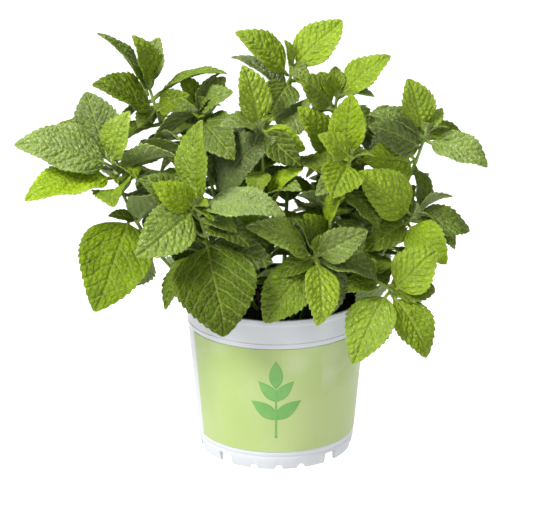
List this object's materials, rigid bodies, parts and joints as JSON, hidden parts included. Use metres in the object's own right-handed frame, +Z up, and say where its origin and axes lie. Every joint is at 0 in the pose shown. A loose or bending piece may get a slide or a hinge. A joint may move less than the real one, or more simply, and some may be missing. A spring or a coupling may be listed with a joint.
{
  "type": "potted mint plant",
  "caption": "Bushy mint plant with quilted, toothed leaves on green stems, growing in a round tapered white plastic nursery pot with a printed wrap label.",
  "frame": {"origin": "centre of the plant's footprint, on the surface that the pot stands on; the pot's axis stands 12 mm towards +X and 14 mm towards -Y from it", "axes": "+Z up, -Y towards the front of the label, +X to the right seen from the front"},
  "size_m": [0.2883, 0.1971, 0.2684],
  "materials": {
    "white_plastic": "moulded white plastic, soft gloss",
    "black_plastic": "glossy black inner skin",
    "label_film": "printed satin film",
    "potting_mix": "damp crumbly peat, matte",
    "stem": "living green stem, satin",
    "leaf": "living leaf, quilted, satin sheen"
  },
  "bodies": {
    "root": {"label": "label_film", "leaf_back_left_1": "leaf", "leaf_back_left_2": "leaf", "leaf_back_right_1": "leaf", "leaf_back_right_2": "leaf", "leaf_centre_1": "leaf", "leaf_front_1": "leaf", "leaf_front_2": "leaf", "leaf_front_3": "leaf", "leaf_front_left_1": "leaf", "leaf_front_left_2": "leaf", "leaf_front_left_3": "leaf", "leaf_front_left_4": "leaf", "leaf_front_left_5": "leaf", "leaf_front_left_6": "leaf", "leaf_inner_right_1": "leaf", "leaf_inner_right_2": "leaf", "leaf_left_1": "leaf", "leaf_left_2": "leaf", "leaf_left_3": "leaf", "leaf_left_4": "leaf", "leaf_left_5": "leaf", "leaf_low_right_1": "leaf", "leaf_low_right_2": "leaf", "leaf_low_right_3": "leaf", "leaf_mid_left_1": "leaf", "leaf_mid_left_2": "leaf", "leaf_mid_left_3": "leaf", "leaf_mid_right_1": "leaf", "leaf_mid_right_2": "leaf", "leaf_mid_right_3": "leaf", "leaf_right_1": "leaf", "leaf_right_2": "leaf", "leaf_right_3": "leaf", "leaf_right_4": "leaf", "leaf_top_1": "leaf", "leaf_top_2": "leaf", "leaf_top_3": "leaf", "leaf_top_right_1": "leaf", "leaf_top_right_2": "leaf", "leaf_upper_left_1": "leaf", "leaf_upper_left_2": "leaf", "leaf_upper_left_3": "leaf", "pot": "white_plastic", "pot_liner": "black_plastic", "potting_mix": "potting_mix", "stem_back_left": "stem", "stem_back_right": "stem", "stem_centre": "stem", "stem_front": "stem", "stem_front_left": "stem", "stem_inner_right": "stem", "stem_left": "stem", "stem_low_right": "stem", "stem_mid_left": "stem", "stem_mid_right": "stem", "stem_right": "stem", "stem_top": "stem", "stem_top_right": "stem", "stem_upper_left": "stem"}
  },
  "joints": []
}
